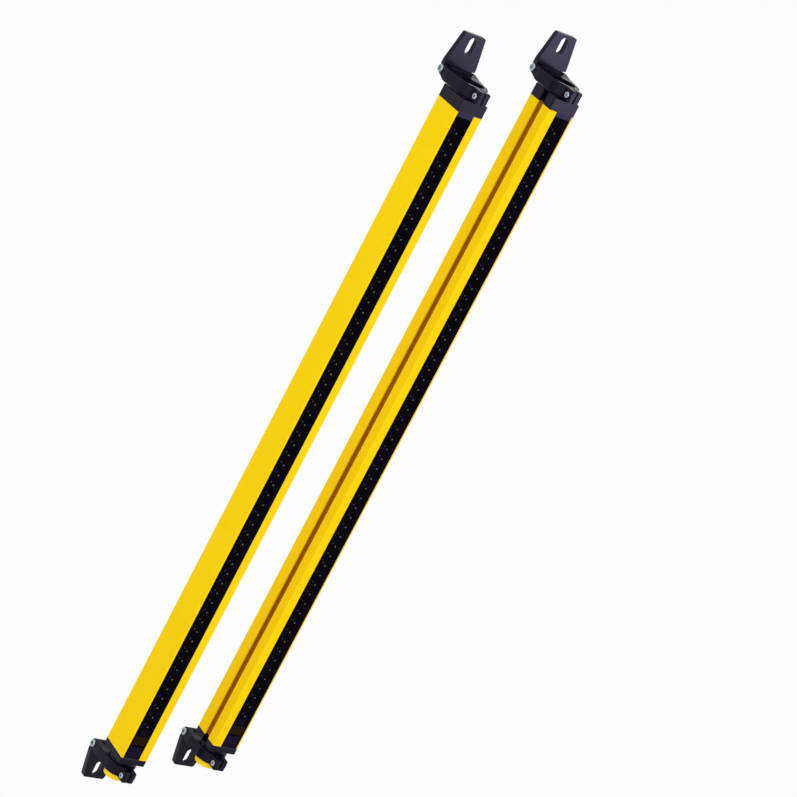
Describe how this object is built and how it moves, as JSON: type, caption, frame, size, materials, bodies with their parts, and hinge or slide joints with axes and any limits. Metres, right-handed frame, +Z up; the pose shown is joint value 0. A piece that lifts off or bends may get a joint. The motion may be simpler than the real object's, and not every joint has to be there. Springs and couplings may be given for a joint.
{
  "type": "safety light curtain",
  "caption": "Sender and receiver sticks of a safety light curtain: yellow aluminium profiles with black windows, each held at both ends by swivel brackets with wall plates.",
  "frame": {"origin": "on the wall plane, midway between the sender's two wall slots", "axes": "+Z up along the sticks, the windows face -Y, the receiver stands at +X"},
  "size_m": [0.1842, 0.078, 1.158],
  "materials": {
    "yellow_coat": "satin",
    "window_pane": "gloss",
    "black_plastic": "satin",
    "seal_rubber": "matt",
    "zinc_steel": "zinc plated",
    "lens_plastic": "gloss",
    "board": "satin",
    "amber_lamp": "gloss",
    "display_glass": "gloss",
    "nickel_brass": "plated",
    "gold_brass": "gold plated",
    "yellow_plastic": "satin"
  },
  "bodies": {
    "sticks": {"sender_housing": "yellow_coat", "sender_window": "window_pane", "sender_top_cap": "black_plastic", "sender_bottom_cap": "black_plastic", "sender_seals": "seal_rubber", "sender_cap_screws": "zinc_steel", "sender_optics_carrier": "black_plastic", "sender_lens_strip": "lens_plastic", "sender_circuit_board": "board", "sender_status_lamp": "amber_lamp", "sender_digit_display": "display_glass", "sender_connector_sleeve": "nickel_brass", "sender_connector_insert": "black_plastic", "sender_connector_pins": "gold_brass", "sender_dust_cap": "yellow_plastic", "receiver_housing": "yellow_coat", "receiver_window": "window_pane", "receiver_top_cap": "black_plastic", "receiver_bottom_cap": "black_plastic", "receiver_seals": "seal_rubber", "receiver_cap_screws": "zinc_steel", "receiver_optics_carrier": "black_plastic", "receiver_lens_strip": "lens_plastic", "receiver_circuit_board": "board", "receiver_status_lamp": "amber_lamp", "receiver_digit_display": "display_glass", "receiver_connector_sleeve": "nickel_brass", "receiver_connector_insert": "black_plastic", "receiver_connector_pins": "gold_brass", "receiver_dust_cap": "yellow_plastic"},
    "sender_top_arm": {"sender_top_clamp_arm": "black_plastic", "sender_top_clamp_screw": "zinc_steel", "sender_top_clamp_nut": "zinc_steel", "sender_top_hinge_bolt": "zinc_steel", "sender_top_hinge_nut": "zinc_steel"},
    "sender_top_plate": {"sender_top_wall_plate": "black_plastic"},
    "sender_bottom_arm": {"sender_bottom_clamp_arm": "black_plastic", "sender_bottom_clamp_screw": "zinc_steel", "sender_bottom_clamp_nut": "zinc_steel", "sender_bottom_hinge_bolt": "zinc_steel", "sender_bottom_hinge_nut": "zinc_steel"},
    "sender_bottom_plate": {"sender_bottom_wall_plate": "black_plastic"},
    "receiver_top_arm": {"receiver_top_clamp_arm": "black_plastic", "receiver_top_clamp_screw": "zinc_steel", "receiver_top_clamp_nut": "zinc_steel", "receiver_top_hinge_bolt": "zinc_steel", "receiver_top_hinge_nut": "zinc_steel"},
    "receiver_top_plate": {"receiver_top_wall_plate": "black_plastic"},
    "receiver_bottom_arm": {"receiver_bottom_clamp_arm": "black_plastic", "receiver_bottom_clamp_screw": "zinc_steel", "receiver_bottom_clamp_nut": "zinc_steel", "receiver_bottom_hinge_bolt": "zinc_steel", "receiver_bottom_hinge_nut": "zinc_steel"},
    "receiver_bottom_plate": {"receiver_bottom_wall_plate": "black_plastic"}
  },
  "joints": [
    {"name": "sender_top_swivel", "type": "hinge", "parent": "sticks", "child": "sender_top_arm", "pos_m": [0, -0.044, 0.503], "axis": [0, 0, 1], "continuous": true},
    {"name": "sender_top_tilt", "type": "hinge", "parent": "sender_top_arm", "child": "sender_top_plate", "pos_m": [0, -0.0072, 0.5065], "axis": [1, 0, 0], "range_deg": [-134, 34]},
    {"name": "sender_bottom_swivel", "type": "hinge", "parent": "sticks", "child": "sender_bottom_arm", "pos_m": [0, -0.044, -0.51], "axis": [0, 0, 1], "continuous": true},
    {"name": "sender_bottom_tilt", "type": "hinge", "parent": "sender_bottom_arm", "child": "sender_bottom_plate", "pos_m": [0, -0.0072, -0.5065], "axis": [-1, 0, 0], "range_deg": [-160, 10]},
    {"name": "receiver_top_swivel", "type": "hinge", "parent": "sticks", "child": "receiver_top_arm", "pos_m": [0.127, -0.044, 0.543], "axis": [0, 0, 1], "continuous": true},
    {"name": "receiver_top_tilt", "type": "hinge", "parent": "receiver_top_arm", "child": "receiver_top_plate", "pos_m": [0.127, -0.0072, 0.5465], "axis": [1, 0, 0], "range_deg": [-134, 34]},
    {"name": "receiver_bottom_swivel", "type": "hinge", "parent": "sticks", "child": "receiver_bottom_arm", "pos_m": [0.127, -0.044, -0.47], "axis": [0, 0, 1], "continuous": true},
    {"name": "receiver_bottom_tilt", "type": "hinge", "parent": "receiver_bottom_arm", "child": "receiver_bottom_plate", "pos_m": [0.127, -0.0072, -0.4665], "axis": [-1, 0, 0], "range_deg": [-160, 10]}
  ]
}
